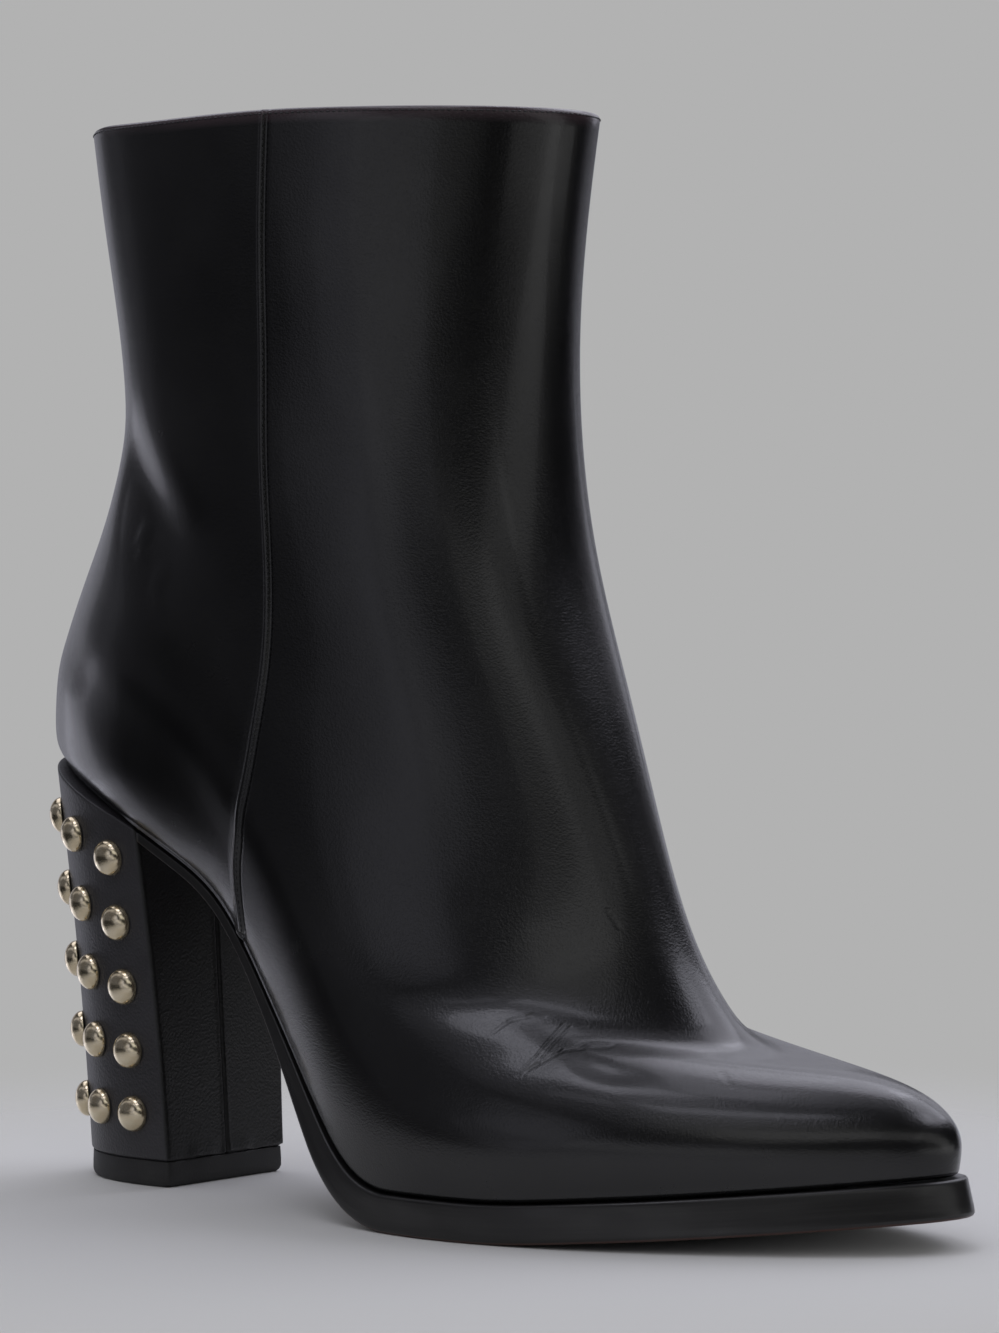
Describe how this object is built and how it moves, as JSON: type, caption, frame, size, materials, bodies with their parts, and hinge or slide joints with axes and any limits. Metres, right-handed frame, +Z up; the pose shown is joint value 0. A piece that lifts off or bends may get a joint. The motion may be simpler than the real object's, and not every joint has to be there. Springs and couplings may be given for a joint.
{
  "type": "block heel ankle boot",
  "caption": "Ankle boot for the right foot in smooth black leather, with a rounded toe, raised side seams, a slim sole and a high block heel set with domed metal studs.",
  "frame": {"origin": "on the floor, under the middle of the boot's box", "axes": "+X towards the toe, +Y towards the inner side of the foot, +Z up"},
  "size_m": [0.2364, 0.0866, 0.2298],
  "materials": {
    "polished_calf": "smooth polished black calf",
    "sock_leather": "matt dark brown lining leather",
    "sole_leather": "black, edge inked and polished",
    "heel_cover": "satin black leather stretched over the heel block",
    "lift_rubber": "matt black",
    "pale_gold": "polished pale gold"
  },
  "bodies": {
    "root": {"upper": "polished_calf", "insole": "sock_leather", "outsole": "sole_leather", "heel": "heel_cover", "top_piece": "lift_rubber", "stud_1_1": "pale_gold", "stud_1_2": "pale_gold", "stud_1_3": "pale_gold", "stud_1_4": "pale_gold", "stud_1_5": "pale_gold", "stud_1_6": "pale_gold", "stud_1_7": "pale_gold", "stud_2_1": "pale_gold", "stud_2_2": "pale_gold", "stud_2_3": "pale_gold", "stud_2_4": "pale_gold", "stud_2_5": "pale_gold", "stud_2_6": "pale_gold", "stud_2_7": "pale_gold", "stud_3_1": "pale_gold", "stud_3_2": "pale_gold", "stud_3_3": "pale_gold", "stud_3_4": "pale_gold", "stud_3_5": "pale_gold", "stud_3_6": "pale_gold", "stud_3_7": "pale_gold", "stud_4_1": "pale_gold", "stud_4_2": "pale_gold", "stud_4_3": "pale_gold", "stud_4_4": "pale_gold", "stud_4_5": "pale_gold", "stud_4_6": "pale_gold", "stud_4_7": "pale_gold", "stud_5_1": "pale_gold", "stud_5_2": "pale_gold", "stud_5_3": "pale_gold", "stud_5_4": "pale_gold", "stud_5_5": "pale_gold", "stud_5_6": "pale_gold", "stud_5_7": "pale_gold"}
  },
  "joints": []
}
